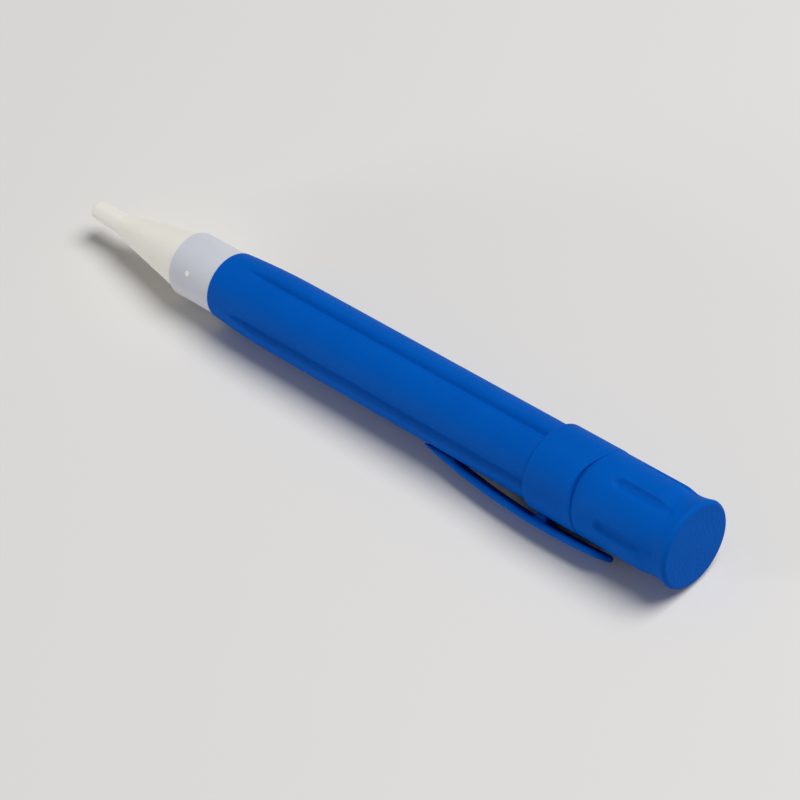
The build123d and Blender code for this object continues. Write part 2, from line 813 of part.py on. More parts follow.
# Return strip: runs beside the cells, with a tail on the board and a fold over the neck's end
with BuildPart() as side_strip:
    with BuildSketch(tangent_plane(strip_angle, strip_inner)):
        with Locations(((strip_tail_x + neck_end_x + strip_thickness) / 2, 0)):
            Rectangle(neck_end_x + strip_thickness - strip_tail_x, strip_width)
    extrude(amount=strip_thickness)
    with BuildSketch(tangent_plane(strip_angle, strip_inner)):
        with Locations((neck_end_x + strip_thickness / 2, 0)):
            Rectangle(strip_thickness, strip_width)
    extrude(amount=strip_fold)
    with BuildSketch(board_plane(board_top)):
        tail_inner = board_width / 2 - strip_tail_overlap
        with Locations((strip_tail_x + strip_tail_length / 2, (tail_inner + strip_outer) / 2)):
            Rectangle(strip_tail_length, strip_outer - tail_inner)
    extrude(amount=strip_thickness)
side_strip.part.label = "side_strip"
export_step(side_strip.part, "parts/side_strip.step")

# Rear contact: a stamped disc on the cap's floor that meets the strip's fold and carries the spring
with BuildPart() as rear_contact:
    with BuildSketch(Plane.YZ.offset(rear_contact_x)):
        Circle(cap_bore - rear_contact_inset)
    extrude(amount=contact_thickness)
rear_contact.part.label = "rear_contact"
export_step(rear_contact.part, "parts/rear_contact.step")

# Rear spring: a tapering coil between the rear contact and the flat end of the rear cell
spring_start_x = rear_contact_x - spring_wire / 2 - spring_air
spring_end_x = rear_cell_end_x + spring_wire / 2 + spring_air


def spring_point(share):
    """Point of the coil's middle line, from 0 on the contact to 1 on the cell."""
    radius = spring_base_radius + (spring_top_radius - spring_base_radius) * share
    turn = spring_half_turns * tau / 2 * share
    return Vector(
        spring_start_x + (spring_end_x - spring_start_x) * share,
        radius * cos(turn),
        radius * sin(turn),
    )


def spring_tangent(share):
    """Direction of the coil's middle line at a share of its length."""
    radius = spring_base_radius + (spring_top_radius - spring_base_radius) * share
    turn = spring_half_turns * tau / 2 * share
    narrowing = spring_top_radius - spring_base_radius
    turning = spring_half_turns * tau / 2
    return Vector(
        spring_end_x - spring_start_x,
        narrowing * cos(turn) - radius * turning * sin(turn),
        narrowing * sin(turn) + radius * turning * cos(turn),
    ).normalized()


def biarc(start, start_way, end, end_way):
    """Two arcs that leave start along start_way, meet smoothly and reach end along end_way."""
    chord = end - start
    ways = start_way + end_way
    spread = 2 * (1 - start_way.dot(end_way))
    along = chord.dot(ways)
    reach = (sqrt(along**2 + spread * chord.dot(chord)) - along) / spread
    first_corner = start + start_way * reach
    second_corner = end - end_way * reach
    joint = (first_corner + second_corner) * 0.5
    TangentArc(start, joint, tangent=start_way)
    TangentArc(joint, end, tangent=second_corner - first_corner)


with BuildPart() as rear_spring:
    with BuildLine() as spring_path:
        for k in range(spring_half_turns):
            here = k / spring_half_turns
            there = (k + 1) / spring_half_turns
            biarc(spring_point(here), spring_tangent(here), spring_point(there), spring_tangent(there))
    with BuildSketch(Plane(origin=spring_point(0), z_dir=spring_tangent(0))):
        RegularPolygon(spring_wire / 2, spring_wire_sides)
    sweep(path=spring_path.wires()[0])
rear_spring.part.label = "rear_spring"
export_step(rear_spring.part, "parts/rear_spring.step")

# Least gap between neighbouring turns, measured between points at least half a turn apart
spring_line = spring_path.wires()[0]
sample_count = spring_gap_samples * spring_half_turns
samples = [spring_line @ (k / sample_count) for k in range(sample_count + 1)]
gaps = [
    (samples[i] - samples[j]).length - spring_wire
    for i in range(len(samples))
    for j in range(i + spring_gap_samples, len(samples))
]
print(f"rear_spring: least gap between turns {min(gaps):.2f} mm (over {spring_least_gap} wanted)")
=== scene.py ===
"""Looks of a pen-shaped magnetic field detector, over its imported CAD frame.

Sizes are in millimetres unless a name says metres, in the part's own frame: X runs along the pen and
out of its flat end, the sensing tip points to -X, and Z is up. Angles about the pen's axis are in
degrees and run from +Y towards +Z.
"""

import logging
from abc import ABC, abstractmethod
from collections.abc import Callable, Iterable, Mapping, Sequence
from dataclasses import dataclass
from enum import Enum
from math import acos, atan2, cos, hypot, inf, pi, radians, sin, sqrt, tan
from typing import Any, ClassVar

import bmesh
import bpy
from mathutils import Matrix, Vector


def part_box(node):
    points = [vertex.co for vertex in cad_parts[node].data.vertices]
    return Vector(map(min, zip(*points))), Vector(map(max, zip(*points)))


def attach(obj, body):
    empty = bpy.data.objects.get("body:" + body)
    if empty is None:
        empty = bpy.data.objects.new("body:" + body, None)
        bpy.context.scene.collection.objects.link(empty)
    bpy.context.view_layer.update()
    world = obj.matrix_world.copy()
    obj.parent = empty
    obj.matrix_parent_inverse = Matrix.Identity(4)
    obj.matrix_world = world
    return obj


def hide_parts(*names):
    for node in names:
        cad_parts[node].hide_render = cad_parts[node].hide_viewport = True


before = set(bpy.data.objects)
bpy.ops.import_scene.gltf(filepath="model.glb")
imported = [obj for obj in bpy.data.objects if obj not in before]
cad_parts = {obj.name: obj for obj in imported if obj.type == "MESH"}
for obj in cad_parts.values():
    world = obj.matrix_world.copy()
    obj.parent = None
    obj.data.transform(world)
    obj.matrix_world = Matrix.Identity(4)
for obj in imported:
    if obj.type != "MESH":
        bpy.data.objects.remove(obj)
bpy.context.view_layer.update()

MM = 0.001
X, Y = range(2)
# Points closer than this many metres are one point
SAME_POINT = 1e-7
# Edges that turn by more degrees than this stay crisp in the shading
SHARP_TURN = 35.0
log = logging.getLogger("magnetic field detector")

Point = tuple[float, float]
Corner = tuple[float, float, float]
Shell = tuple[list[Vector], list[tuple[int, ...]]]


class Body(Enum):
    """The bodies that move against each other."""

    PEN = "pen"
    CLIP = "clip"
    CAP = "cap"


class Slot(Enum):
    """The record's material slots of the mouldings."""

    BLUE = "blue_abs"
    DIFFUSER = "diffuser_plastic"
    NOSE = "nose_plastic"


def reach(node: str, axis: int) -> Point:
    """Gives the lowest and highest place of a CAD node along one axis.

    Args:
        node: Name of the CAD node.
        axis: X or Y.

    Returns:
        The two places in millimetres.
    """
    low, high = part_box(node)
    return low[axis] / MM, high[axis] / MM


def linear(code: str) -> tuple[float, float, float, float]:
    """Turns an sRGB colour into the linear one that shaders use.

    Args:
        code: Colour as six hex digits after a hash sign.

    Returns:
        Linear red, green and blue, and an alpha of 1.
    """
    shares = [int(code[k : k + 2], 16) / 255 for k in (1, 3, 5)]
    red, green, blue = (s / 12.92 if s <= 0.04045 else ((s + 0.055) / 1.055) ** 2.4 for s in shares)
    return red, green, blue, 1.0


def add_node(
    tree: bpy.types.NodeTree,
    kind: str,
    settings: Mapping[str | int, Any] | None = None,
    links: Mapping[str | int, bpy.types.NodeSocket] | None = None,
) -> bpy.types.Node:
    """Adds a shader node with its settings and links.

    Args:
        tree: Tree that the node goes into.
        kind: Type name of the node, without its common first part.
        settings: Values by property name, or by input name or place where there is no such property.
        links: Output sockets by the name or place of the input that each one feeds.

    Returns:
        The new node.
    """
    node = tree.nodes.new("ShaderNode" + kind)
    for name, value in (settings or {}).items():
        if isinstance(name, str) and hasattr(node, name):
            setattr(node, name, value)
        else:
            node.inputs[name].default_value = value
    for name, socket in (links or {}).items():
        tree.links.new(socket, node.inputs[name])
    return node


@dataclass(frozen=True)
class Finish(ABC):
    """How a material was made and what that gives the eye."""

    name: str

    @abstractmethod
    def shade(self, tree: bpy.types.NodeTree) -> bpy.types.NodeSocket:
        """Adds the finish's own nodes.

        Args:
            tree: Empty tree of the material.

        Returns:
            The shader socket for the material's surface.
        """

    def material(self) -> bpy.types.Material:
        """Makes the material once.

        Returns:
            The material of this name.
        """
        found = bpy.data.materials.get(self.name)
        if found:
            return found
        material = bpy.data.materials.new(self.name)
        material.use_nodes = True
        tree = material.node_tree
        tree.nodes.clear()
        add_node(tree, "OutputMaterial", links={"Surface": self.shade(tree)})
        return material


@dataclass(frozen=True)
class GrainedSolid(Finish):
    """Moulded, cast, cured or fired stuff: an even colour with faint clouds from its flow, and the fine
    grain of its mould or its filler, which breaks the gloss into a soft sheen."""

    colour: str
    cloud_colour: str
    roughness: float
    cloud_mm: float = 14.0
    cloud_detail: float = 3.0
    cloud_range: tuple[float, float] = (0.35, 0.65)
    cloud_share: float = 0.5
    # A real grain is about 0.05 mm wide, too fine to show, so it is drawn coarser and deeper
    grain_mm: float = 0.35
    grain_depth_mm: float = 0.02
    sheen_spread: float = 0.06
    ior: float = 1.53
    specular: float = 0.5
    glow_mm: float = 0.0
    glow_share: float = 0.0
    glow_tint: tuple[float, float, float] = (1.0, 0.85, 0.6)

    def shade(self, tree: bpy.types.NodeTree) -> bpy.types.NodeSocket:
        """Adds the colour clouds and the grain.

        Args:
            tree: Empty tree of the material.

        Returns:
            The shader socket for the material's surface.
        """
        place = add_node(tree, "TexCoord").outputs["Object"]
        clouds = add_node(
            tree,
            "TexNoise",
            {"Scale": 1 / (self.cloud_mm * MM), "Detail": self.cloud_detail},
            {"Vector": place},
        )
        faintest, fullest = self.cloud_range
        share = add_node(
            tree,
            "MapRange",
            {"From Min": faintest, "From Max": fullest, "To Min": 0.0, "To Max": self.cloud_share},
            {"Value": clouds.outputs["Fac"]},
        )
        colour = add_node(
            tree,
            "Mix",
            {"data_type": "RGBA", 6: linear(self.colour), 7: linear(self.cloud_colour)},
            {0: share.outputs["Result"]},
        )
        grain = add_node(tree, "TexNoise", {"Scale": 1 / (self.grain_mm * MM)}, {"Vector": place})
        smoothest, roughest = self.roughness - self.sheen_spread, self.roughness + self.sheen_spread
        sheen = add_node(
            tree, "MapRange", {"To Min": smoothest, "To Max": roughest}, {"Value": grain.outputs["Fac"]}
        )
        relief = add_node(
            tree, "Bump", {"Distance": self.grain_depth_mm * MM}, {"Height": grain.outputs["Fac"]}
        )
        surface = add_node(
            tree,
            "BsdfPrincipled",
            {
                "IOR": self.ior,
                "Specular IOR Level": self.specular,
                "Subsurface Weight": self.glow_share,
                "Subsurface Radius": self.glow_tint,
                "Subsurface Scale": self.glow_mm * MM,
            },
            {
                "Base Color": colour.outputs[2],
                "Roughness": sheen.outputs["Result"],
                "Normal": relief.outputs["Normal"],
            },
        )
        return surface.outputs["BSDF"]


@dataclass(frozen=True)
class DrawnMetal(Finish):
    """Rolled or drawn sheet, can or wire: a bright metal with lines along the pen that streak its gloss."""

    colour: str
    roughness: float
    # Real drawn lines are a few hundredths of a millimetre wide, too fine to show, so these are coarser
    line_mm: float = 0.25
    line_stretch: float = 30.0
    sheen_range: tuple[float, float] = (-0.08, 0.12)

    def shade(self, tree: bpy.types.NodeTree) -> bpy.types.NodeSocket:
        """Adds the drawn lines.

        Args:
            tree: Empty tree of the material.

        Returns:
            The shader socket for the material's surface.
        """
        place = add_node(tree, "TexCoord").outputs["Object"]
        along = add_node(
            tree, "Mapping", {"Scale": (1 / self.line_stretch, 1.0, 1.0)}, {"Vector": place}
        )
        lines = add_node(
            tree, "TexNoise", {"Scale": 1 / (self.line_mm * MM)}, {"Vector": along.outputs["Vector"]}
        )
        smoothest, roughest = (self.roughness + change for change in self.sheen_range)
        sheen = add_node(
            tree, "MapRange", {"To Min": smoothest, "To Max": roughest}, {"Value": lines.outputs["Fac"]}
        )
        surface = add_node(
            tree,
            "BsdfPrincipled",
            {"Base Color": linear(self.colour), "Metallic": 1.0},
            {"Roughness": sheen.outputs["Result"]},
        )
        return surface.outputs["BSDF"]


@dataclass(frozen=True)
class PaintedBoard(Finish):
    """Matt paint rolled on board: one pale tone with hardly any gloss, on which only shadows show."""

    colour: str
    roughness: float
    specular: float

    def shade(self, tree: bpy.types.NodeTree) -> bpy.types.NodeSocket:
        """Adds the plain paint.

        Args:
            tree: Empty tree of the material.

        Returns:
            The shader socket for the material's surface.
        """
        values = {
            "Base Color": linear(self.colour),
            "Roughness": self.roughness,
            "Specular IOR Level": self.specular,
        }
        return add_node(tree, "BsdfPrincipled", values).outputs["BSDF"]


# From an eroded mould: a deep, even blue with hardly any gloss, so that shade alone shows its form
BLUE_ABS = GrainedSolid(
    "abs_moulded_blue_satin", "#0158B9", "#0152AF", 0.55, grain_mm=0.8, grain_depth_mm=0.1, specular=0.02
)
# Moulded thin and unfilled, so that light sinks a little way in: a milky cream with soft shade
CREAM_PE = GrainedSolid(
    "polyethylene_moulded_cream",
    "#F2EFE6",
    "#ECE8DC",
    0.5,
    grain_mm=0.8,
    grain_depth_mm=0.04,
    ior=1.51,
    glow_mm=1.5,
    glow_share=0.2,
)
# Moulded with a white pigment, denser than the cream one: a cool, waxy white with soft shade
WHITE_PE = GrainedSolid(
    "polyethylene_moulded_bluish_white",
    "#CFD2DA",
    "#C7CAD2",
    0.6,
    grain_mm=0.8,
    grain_depth_mm=0.04,
    ior=1.51,
    specular=0.12,
    glow_mm=0.8,
    glow_share=0.3,
)
# Moulded and cured: near black with a dull sheen
BLACK_RUBBER = GrainedSolid("nitrile_moulded_black", "#17181A", "#202124", 0.62, ior=1.52)
# Moulded: near black, a little glossier than the rubber
BLACK_NYLON = GrainedSolid("nylon_moulded_black", "#1B1C1F", "#25262A", 0.5)
# Cured over the board's laminate: a glossy, dark green skin
GREEN_MASK = GrainedSolid("solder_mask_cured_green", "#0B5A2A", "#0F6B34", 0.3, cloud_mm=2.0)
# Moulded with a mineral filler: dull black with a hint of grey
BLACK_EPOXY = GrainedSolid("epoxy_moulded_black", "#1A1A1C", "#222225", 0.55, cloud_mm=1.0)
# Fired without a glaze: a chalky tan
TAN_CERAMIC = GrainedSolid("ceramic_fired_tan", "#9A7F5E", "#86704F", 0.5, cloud_mm=0.8)
# Cast in a polished mould: a smooth red gloss with sharp highlights
RED_LENS = GrainedSolid(
    "epoxy_cast_red_lens", "#D23A2C", "#BE2F24", 0.12, cloud_mm=2.0, grain_depth_mm=0.0
)
# Rolled or drawn, then plated: warm and bright, with fine streaks
NICKEL_STEEL = DrawnMetal("steel_nickel_plated", "#C9C4B8", 0.3)
# Drawn, then dipped in tin: cooler and duller than the nickel
TINNED_WIRE = DrawnMetal("copper_tinned", "#C8C8C6", 0.35, line_mm=0.1)
# Deep drawn and lacquered: a cool grey with wide, soft streaks
CELL_CAN = DrawnMetal("steel_can_lacquered", "#B9BCC0", 0.38, line_mm=0.4)
# Rolled paint: pale and flat, a shade under white
PALE_BOARD = PaintedBoard("board_painted_pale", "#E4E2DF", 0.7, 0.1)


def add_object(name: str, data: bpy.types.ID) -> bpy.types.Object:
    """Adds an object to the scene.

    Args:
        name: Name of the object.
        data: Its mesh, light or camera.

    Returns:
        The new object.
    """
    added = bpy.data.objects.new(name, data)
    bpy.context.scene.collection.objects.link(added)
    return added


def facing_from(place: Vector, back: Vector) -> Matrix:
    """Gives the pose of a lamp or camera at a place in metres, with its back in a given direction."""
    return Matrix.Translation(place) @ back.to_track_quat("Z", "Y").to_matrix().to_4x4()


def ease(share: float) -> float:
    """Turns an even change from 0 to 1 into one that starts and ends softly."""
    return share**2 * (3 - 2 * share)


def soft_min(first: float, second: float, blend: float) -> float:
    """Gives the smaller of two distances, with a rounded change from one to the other.

    Args:
        first: One distance.
        second: The other distance.
        blend: Difference within which the change is rounded.

    Returns:
        The rounded minimum.
    """
    share = max(blend - abs(first - second), 0.0) / blend
    return min(first, second) - share**2 * blend / 4


def turn_from(angle: float, centre: float) -> float:
    """Gives the turn from one angle about the axis to another, between -180 and 180 degrees."""
    return (angle - centre + 180.0) % 360.0 - 180.0


def nearest_turn(angle: float, centres: Iterable[float]) -> float:
    """Gives the turn between an angle about the axis and the nearest of some others, without a sign."""
    return min((abs(turn_from(angle, centre)) for centre in centres), default=360.0)


def across_from(angle: float, centres: Iterable[float], radius: float) -> float:
    """Gives the distance across from the nearest of some angles, at a radius.

    Args:
        angle: Angle about the axis.
        centres: The angles to measure from.
        radius: Distance from the axis.

    Returns:
        The distance, which is the radius from a quarter turn on.
    """
    return radius * sin(radians(min(nearest_turn(angle, centres), 90.0)))


def groove(turn: float, centre: float, radius: float) -> float:
    """Gives how far out a round groove's floor lies, seen from the pen's axis.

    Args:
        turn: Angle from the middle of the groove.
        centre: Distance from the pen's axis to the groove's own axis.
        radius: Radius of the groove.

    Returns:
        The distance from the pen's axis, which is infinite beside the groove.
    """
    across = radius**2 - (centre * sin(radians(turn))) ** 2
    if across <= 0 or abs(turn) > 90:
        return inf
    return centre * cos(radians(turn)) - sqrt(across)


def round_corners(corners: Sequence[Corner], steps: int = 5) -> list[Point]:
    """Rounds the corners of a closed outline.

    Args:
        corners: Place along the axis, distance from it and rounding radius of each corner.
        steps: Number of short sides that each round gets.

    Returns:
        The outline's points: one for a corner with no radius, or else one more than the steps.
    """
    points: list[Point] = []
    for k, (x, r, radius) in enumerate(corners):
        if radius == 0:
            points.append((x, r))
            continue
        corner = Vector((x, r))
        to_last = Vector(corners[k - 1][:2]) - corner
        to_next = Vector(corners[(k + 1) % len(corners)][:2]) - corner
        to_last.normalize()
        to_next.normalize()
        half = acos(max(-1.0, min(1.0, to_last.dot(to_next)))) / 2
        middle = corner + (to_last + to_next).normalized() * (radius / sin(half))
        start = corner + to_last * (radius / tan(half)) - middle
        end = corner + to_next * (radius / tan(half)) - middle
        sweep = pi - 2 * half
        for step in range(steps + 1):
            turn = sweep * step / steps
            way = (start * sin(sweep - turn) + end * sin(turn)) / sin(sweep)
            points.append((middle.x + way.x, middle.y + way.y))
    return points


def column_angles(
    coarse: float, fine: float | None = None, centres: Sequence[float] = (), half_width: float = 0.0
) -> list[float]:
    """Spreads the columns of a turned piece round the pen, closer together at its flutes.

    Args:
        coarse: Largest angle between columns.
        fine: Angle between columns at a flute, where the piece has flutes.
        centres: Middles of the flutes.
        half_width: Half the angle over which the columns stay close.

    Returns:
        The columns' angles.
    """
    least = fine or coarse
    angles: list[float] = []
    angle = 0.0
    while angle < 360.0 - least / 2:
        angles.append(angle)
        angle += min(coarse, max(least, nearest_turn(angle, centres) - half_width))
    return angles


def turned_shell(outline: Callable[[float], list[Point]], angles: Sequence[float]) -> Shell:
    """Builds a closed shell round the pen's axis from its outline at every angle.

    Args:
        outline: Gives the closed outline at an angle, with the same number of points at all of them.
        angles: The columns' angles.

    Returns:
        The shell's points and faces.
    """
    points: list[Vector] = []
    for angle in angles:
        across, up = cos(radians(angle)), sin(radians(angle))
        points += [Vector((x, r * across, r * up)) for x, r in outline(angle)]
    count = len(points) // len(angles)
    faces = []
    for column in range(len(angles)):
        here, there = column * count, (column + 1) % len(angles) * count
        for k in range(count):
            after = (k + 1) % count
            faces.append((here + k, here + after, there + after, there + k))
    return points, faces


def make_piece(name: str, *shells: Shell) -> bpy.types.Object:
    """Makes one smooth-shaded object from closed shells.

    Args:
        name: Name of the object.
        shells: Points in millimetres, and faces.

    Returns:
        The object, linked to the scene.
    """
    mesh = bpy.data.meshes.new(name)
    work = bmesh.new()
    for points, faces in shells:
        corners = [work.verts.new(point * MM) for point in points]
        for face in faces:
            work.faces.new([corners[k] for k in face])
    bmesh.ops.remove_doubles(work, verts=work.verts, dist=SAME_POINT)
    bare = [edge for edge in work.edges if not edge.link_faces]
    bmesh.ops.delete(work, geom=bare, context="EDGES")
    bmesh.ops.recalc_face_normals(work, faces=work.faces)
    for face in work.faces:
        face.smooth = True
    work.to_mesh(mesh)
    work.free()
    mesh.set_sharp_from_angle(angle=radians(SHARP_TURN))
    piece = add_object(name, mesh)
    even = piece.modifiers.new("even_shading", "WEIGHTED_NORMAL")
    even.keep_sharp = True
    return piece


@dataclass(frozen=True)
class Moulding(ABC):
    """A moulded piece, drawn with its real rounds in place of a plainer CAD node."""

    node: ClassVar[str]
    body: ClassVar[Body] = Body.PEN
    slot: ClassVar[Slot] = Slot.BLUE
    finish: ClassVar[Finish] = BLUE_ABS

    @abstractmethod
    def shells(self) -> list[Shell]:
        """Works out the piece's closed shells.

        Returns:
            Points and faces of each shell.
        """

    def build(self) -> bpy.types.Object:
        """Builds the piece in place of its node and dresses it.

        Returns:
            The piece.
        """
        piece = make_piece(self.node + "_moulding", *self.shells())
        self.dress(piece)
        log.info("%s: %s", piece.name, self.finish.name)
        return piece

    def dress(self, piece: bpy.types.Object) -> None:
        """Gives the piece its finish and ties it to its body.

        Args:
            piece: The piece that stands for the node.
        """
        piece.data.materials.append(self.finish.material())
        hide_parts(self.node)
        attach(piece, self.body.value)


@dataclass(frozen=True)
class Layout:
    """Places along the axis and radii that several pieces share."""

    tip_x: float = reach("tip_cone", X)[0]
    nose_front_x: float = reach("nose_sleeve", X)[0]
    tip_end_x: float = reach("tip_cone", X)[1]
    barrel_front_x: float = reach("barrel", X)[0]
    plug_end_x: float = reach("nose_sleeve", X)[1]
    ring_front_x: float = reach("clip_ring", X)[0]
    cap_front_x: float = reach("clip_ring", X)[1]
    neck_end_x: float = reach("barrel", X)[1]
    ring_overlap: float = 4.0
    nose_radius: float = reach("nose_sleeve", Y)[1]
    barrel_radius: float = reach("barrel", Y)[1]
    ring_radius: float = reach("clip_ring", Y)[1]
    flange_radius: float = reach("end_cap", Y)[1]
    neck_step: float = 0.7
    barrel_wall: float = 2.15
    rim_bore: float = 5.8
    fit: float = 0.03
    slide: float = 0.06
    clip_angle: float = 218.0
    panel_half_angle: float = 40.0

    @property
    def middle_x(self) -> float:
        """Middle of the pen's length."""
        return self.tip_x / 2

    @property
    def neck_start_x(self) -> float:
        """Place where the barrel steps down to the neck."""
        return self.ring_front_x + self.ring_overlap

    @property
    def neck_radius(self) -> float:
        """Radius of the neck that the ring and the cap slide over."""
        return self.barrel_radius - self.neck_step

    @property
    def bore(self) -> float:
        """Radius of the room for the cells."""
        return self.barrel_radius - self.barrel_wall

    @property
    def panel_angle(self) -> float:
        """Angle of the plain panel on the clip's left."""
        return self.clip_angle - 90.0

    @property
    def flute_angles(self) -> list[float]:
        """Angles of the four flutes, which border the two panels."""
        sides = (-self.panel_half_angle, self.panel_half_angle)
        return [self.panel_angle + half_turn + side for half_turn in (0.0, 180.0) for side in sides]


LAYOUT = Layout()


@dataclass(frozen=True)
class SensingTip(Moulding):
    """The hollow cream cone with its blunt nib, and two locking pips that show in the sleeve."""

    node: ClassVar[str] = "tip_cone"
    slot: ClassVar[Slot] = Slot.DIFFUSER
    finish: ClassVar[Finish] = CREAM_PE

    nib_length: float = 9.4
    nib_tip_radius: float = 1.85
    nib_base_radius: float = 2.3
    nib_round: float = 0.95
    cone_front_radius: float = 2.7
    cone_step: float = 0.4
    small_round: float = 0.18
    spigot_radius: float = 5.2
    wall: float = 0.9
    nib_bore: float = 1.35
    nib_bore_length: float = 4.0
    pip_radius: float = 0.6
    pip_round: float = 0.12
    pip_rise: float = 0.03
    pip_depth: float = 1.6
    pip_setback: float = 5.0
    pip_angle: float = LAYOUT.clip_angle - 75.0
    column_turn: float = 4.0
    pip_column_turn: float = 20.0

    def outline(self, angle: float) -> list[Point]:
        """Gives the cone's outline, which is the same at every angle.

        Args:
            angle: Angle about the axis; not used, as the outline is the same at every angle.

        Returns:
            The outline's points.
        """
        nib_base_x = LAYOUT.tip_x + self.nib_length
        nib_bore_x = nib_base_x - self.nib_bore_length
        cone_rear = LAYOUT.nose_radius - self.cone_step
        spigot_bore = self.spigot_radius - self.wall
        return round_corners(
            [
                (LAYOUT.tip_x, 0.0, 0.0),
                (LAYOUT.tip_x, self.nib_tip_radius, self.nib_round),
                (nib_base_x, self.nib_base_radius, self.small_round),
                (nib_base_x, self.cone_front_radius, self.small_round),
                (LAYOUT.nose_front_x, cone_rear, self.small_round),
                (LAYOUT.nose_front_x, self.spigot_radius, 0.0),
                (LAYOUT.tip_end_x, self.spigot_radius, 0.0),
                (LAYOUT.tip_end_x, spigot_bore, 0.0),
                (LAYOUT.nose_front_x, spigot_bore, 0.0),
                (nib_base_x, self.nib_bore, 0.0),
                (nib_bore_x, self.nib_bore, 0.0),
                (nib_bore_x, 0.0, 0.0),
            ]
        )

    def pip_outline(self, angle: float) -> list[Point]:
        """Gives a pip's outline about its own axis, which is the same at every angle.

        Args:
            angle: Angle about the pip's axis; not used, as the outline is the same at every angle.

        Returns:
            The outline's points, from the hidden root to the face.
        """
        face = LAYOUT.nose_radius + self.pip_rise
        return round_corners(
            [
                (face - self.pip_depth, 0.0, 0.0),
                (face - self.pip_depth, self.pip_radius, 0.0),
                (face, self.pip_radius, self.pip_round),
                (face, 0.0, 0.0),
            ]
        )

    def shells(self) -> list[Shell]:
        """Works out the cone and the two pips.

        Returns:
            Points and faces of each shell.
        """
        shells = [turned_shell(self.outline, column_angles(self.column_turn))]
        points, faces = turned_shell(self.pip_outline, column_angles(self.pip_column_turn))
        place = Matrix.Translation((LAYOUT.nose_front_x + self.pip_setback, 0.0, 0.0))
        upright = Matrix.Rotation(radians(90.0), 4, "Z")
        for half_turn in (0.0, 180.0):
            turn = Matrix.Rotation(radians(self.pip_angle + half_turn), 4, "X")
            shells.append(([place @ turn @ upright @ point for point in points], faces))
        return shells


@dataclass(frozen=True)
class NoseSleeve(Moulding):
    """The bluish white band behind the cone, with the plug that holds it in the barrel."""

    node: ClassVar[str] = "nose_sleeve"
    slot: ClassVar[Slot] = Slot.NOSE
    finish: ClassVar[Finish] = WHITE_PE

    wall: float = 1.34
    edge: float = 0.25
    plug_wall: float = 0.87
    column_turn: float = 4.0

    def outline(self, angle: float) -> list[Point]:
        """Gives the sleeve's outline, which is the same at every angle.

        Args:
            angle: Angle about the axis; not used, as the outline is the same at every angle.

        Returns:
            The outline's points.
        """
        socket = LAYOUT.nose_radius - self.wall
        plug = LAYOUT.rim_bore - LAYOUT.fit
        return round_corners(
            [
                (LAYOUT.nose_front_x, socket, 0.0),
                (LAYOUT.nose_front_x, LAYOUT.nose_radius, self.edge),
                (LAYOUT.barrel_front_x, LAYOUT.nose_radius, 0.0),
                (LAYOUT.barrel_front_x, plug, 0.0),
                (LAYOUT.plug_end_x, plug, 0.0),
                (LAYOUT.plug_end_x, plug - self.plug_wall, 0.0),
                (LAYOUT.tip_end_x, plug - self.plug_wall, 0.0),
                (LAYOUT.tip_end_x, socket, 0.0),
            ]
        )

    def shells(self) -> list[Shell]:
        """Works out the sleeve."""
        return [turned_shell(self.outline, column_angles(self.column_turn))]


